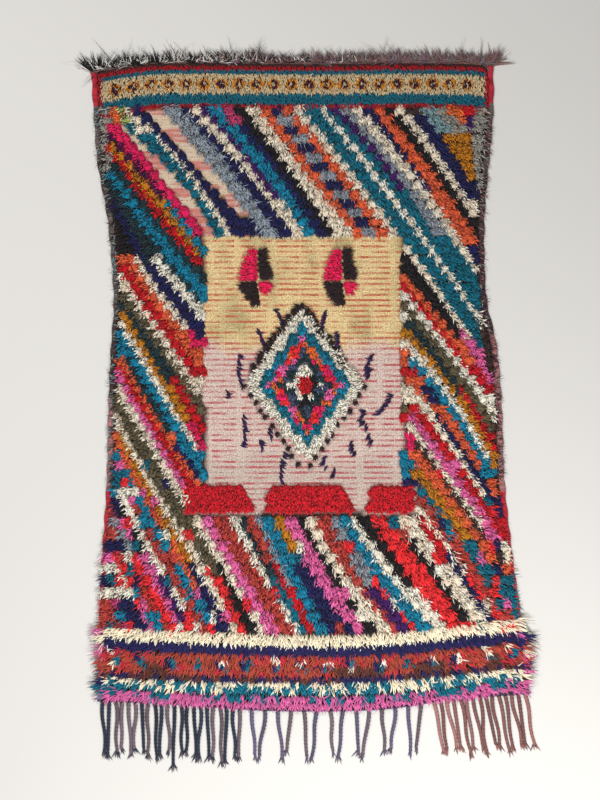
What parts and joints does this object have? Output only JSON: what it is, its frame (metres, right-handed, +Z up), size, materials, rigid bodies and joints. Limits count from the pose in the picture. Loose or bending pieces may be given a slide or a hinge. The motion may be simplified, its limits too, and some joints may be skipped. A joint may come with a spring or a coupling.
{
  "type": "boucherouite rug",
  "caption": "Hand-knotted rag rug with long pile in slanting stripes, a bare woven panel with a lozenge, wound side cords and warp fringe at both ends, laid flat.",
  "frame": {"origin": "on the floor, under the middle of the whole rug with its fringes", "axes": "+Z up out of the pile, +Y along the rug towards its head, +X to the right seen from above"},
  "size_m": [1.5121, 2.3605, 0.0286],
  "materials": {
    "knotted_cloth": "flat woven ground with long knotted pile of rag and wool yarn",
    "wound_cord": "warps wound over with mauve and brown yarn",
    "foot_warp": "plied wool cords, slate to mauve",
    "head_warp": "short matted wool locks, grey to dusty pink"
  },
  "bodies": {
    "root": {"cloth": "knotted_cloth", "side_cord_left": "wound_cord", "side_cord_right": "wound_cord", "fringe_foot": "foot_warp", "fringe_head": "head_warp"}
  },
  "joints": []
}
